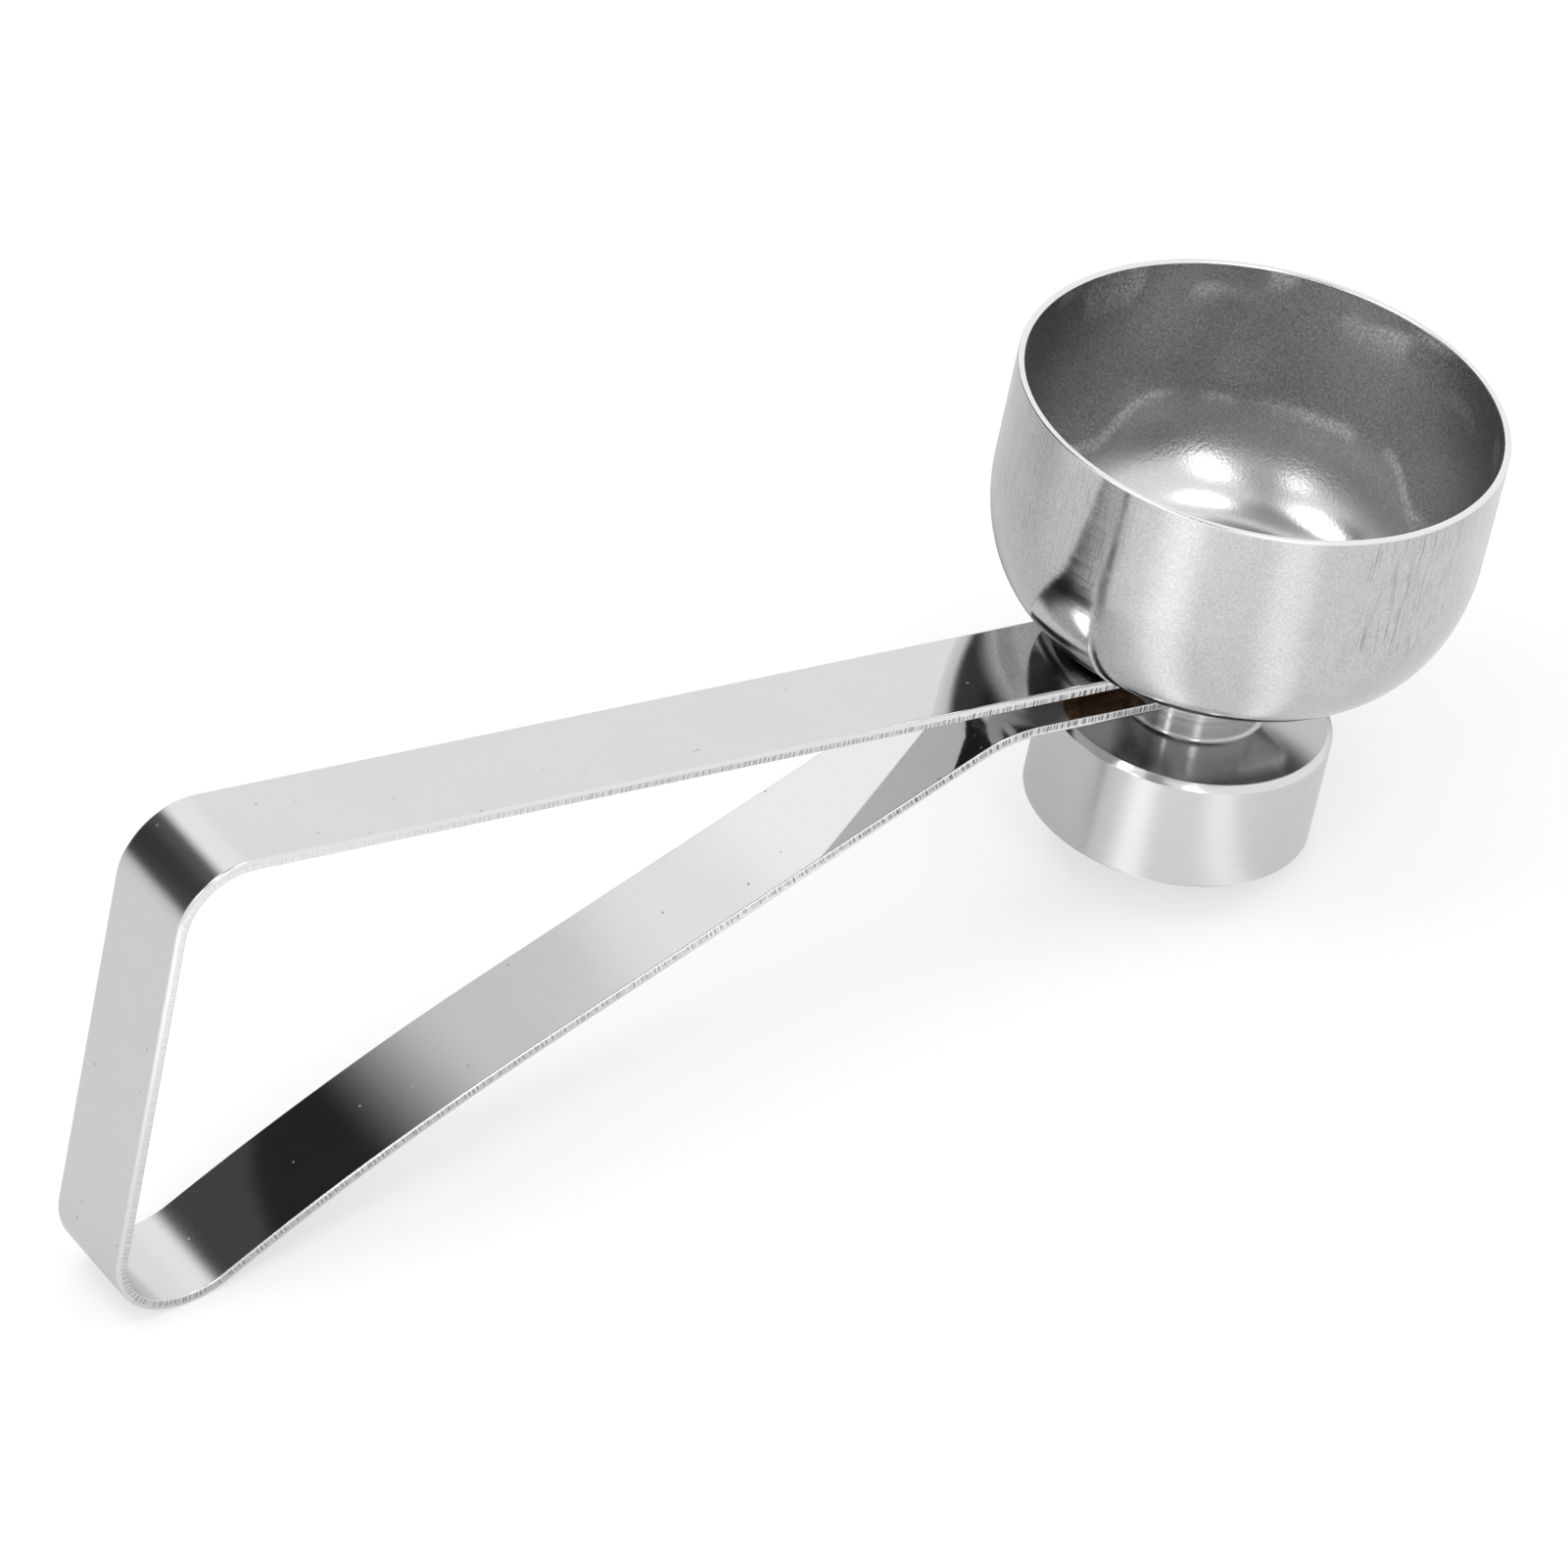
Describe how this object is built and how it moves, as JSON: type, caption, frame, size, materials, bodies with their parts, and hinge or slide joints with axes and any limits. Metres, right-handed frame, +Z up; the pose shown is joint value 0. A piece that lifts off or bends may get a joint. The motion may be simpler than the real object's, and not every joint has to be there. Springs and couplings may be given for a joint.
{
  "type": "egg topper",
  "caption": "All-steel egg topper: a round cup and a turned weight on one springy strip bent into a three-sided handle, the weight free to knock the cup's base.",
  "frame": {"origin": "on the table under the centre of the tool's box, as it lies on its heel and on the far edge of its weight", "axes": "+X from the handle towards the head, +Z up from the table, +Y across the strip; the head's axis leans 14 degrees from +Z towards +X"},
  "size_m": [0.1294, 0.04, 0.0459],
  "materials": {
    "cup_steel": "satin-polished outside with fine vertical marks, tumbled matte inside",
    "strip_steel": "mirror-polished faces with sheared edges",
    "turned_steel": "fine-turned"
  },
  "bodies": {
    "cup_and_handle": {"cup": "cup_steel", "handle_upper_leg": "strip_steel"},
    "striker": {"handle_lower_leg": "strip_steel", "weight": "turned_steel"}
  },
  "joints": [
    {"name": "striker_draw", "type": "hinge", "parent": "cup_and_handle", "child": "striker", "pos_m": [-0.06454, 0, 0.00748], "axis": [0, 1, 0], "range_deg": [-1.15, 12], "stiffness_Nm_per_rad": 1.45, "springref_deg": 0.84}
  ]
}
